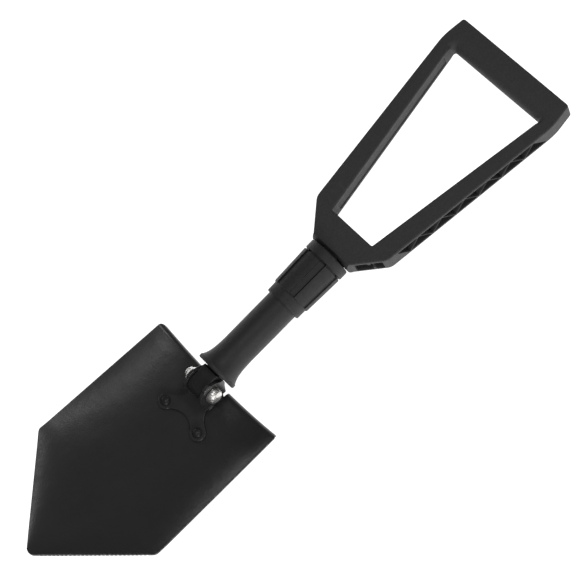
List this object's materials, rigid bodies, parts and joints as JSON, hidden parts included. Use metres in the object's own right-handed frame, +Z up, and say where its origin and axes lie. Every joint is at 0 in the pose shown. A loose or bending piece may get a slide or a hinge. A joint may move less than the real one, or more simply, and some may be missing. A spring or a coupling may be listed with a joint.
{
  "type": "folding camp shovel",
  "caption": "Folding camp shovel: pointed dished steel blade, short flared tube with a screw collar and a D-shaped moulded handle, folding at both ends of the tube.",
  "frame": {"origin": "middle of the underside of the object's box, the opened shovel lying with its hollow face up", "axes": "+X from the blade towards the grip, +Z up out of the blade's hollow face, +Y to the left"},
  "size_m": [0.6022, 0.1624, 0.0533],
  "materials": {
    "blade_paint": "near-black semi-gloss powder coat on pressed steel",
    "tube_paint": "matt black coating on the flared tube",
    "frame_nylon": "fine-grained dark grey moulded nylon",
    "collar_nylon": "black moulded nylon with seven raised ribs",
    "bright_steel": "bright zinc-plated steel, hammered at the head",
    "dark_steel": "black oxide steel"
  },
  "bodies": {
    "shaft": {"link_bar": "dark_steel", "shaft_tube": "tube_paint", "blade_end_bush": "dark_steel", "handle_end_bush": "dark_steel"},
    "blade": {"blade": "blade_paint", "hinge_bracket": "blade_paint", "hinge_back_plate": "blade_paint", "rivet_left": "dark_steel", "rivet_right": "dark_steel", "blade_pin": "bright_steel", "blade_pin_washer": "bright_steel"},
    "ring": {"thrust_ring": "dark_steel"},
    "collar": {"locking_collar": "collar_nylon"},
    "handle": {"handle_frame": "frame_nylon", "handle_pin": "bright_steel"}
  },
  "joints": [
    {"name": "blade_fold", "type": "hinge", "parent": "shaft", "child": "blade", "pos_m": [-0.09287, 0, 0.03237], "axis": [0, 1, 0], "range_deg": [0, 168]},
    {"name": "handle_fold", "type": "hinge", "parent": "shaft", "child": "handle", "pos_m": [0.08212, 0, 0.03237], "axis": [0, 1, 0], "range_deg": [0, 180]},
    {"name": "collar_slide", "type": "slide", "parent": "shaft", "child": "ring", "axis": [-1, 0, 0], "range_m": [0, 0.006]},
    {"name": "collar_spin", "type": "hinge", "parent": "ring", "child": "collar", "pos_m": [0.08212, 0, 0.03237], "axis": [-1, 0, 0], "range_deg": [0, 720]}
  ],
  "couplings": [
    {"joint": "collar_spin", "follows": "collar_slide", "rad_per_m": 2094.4}
  ]
}
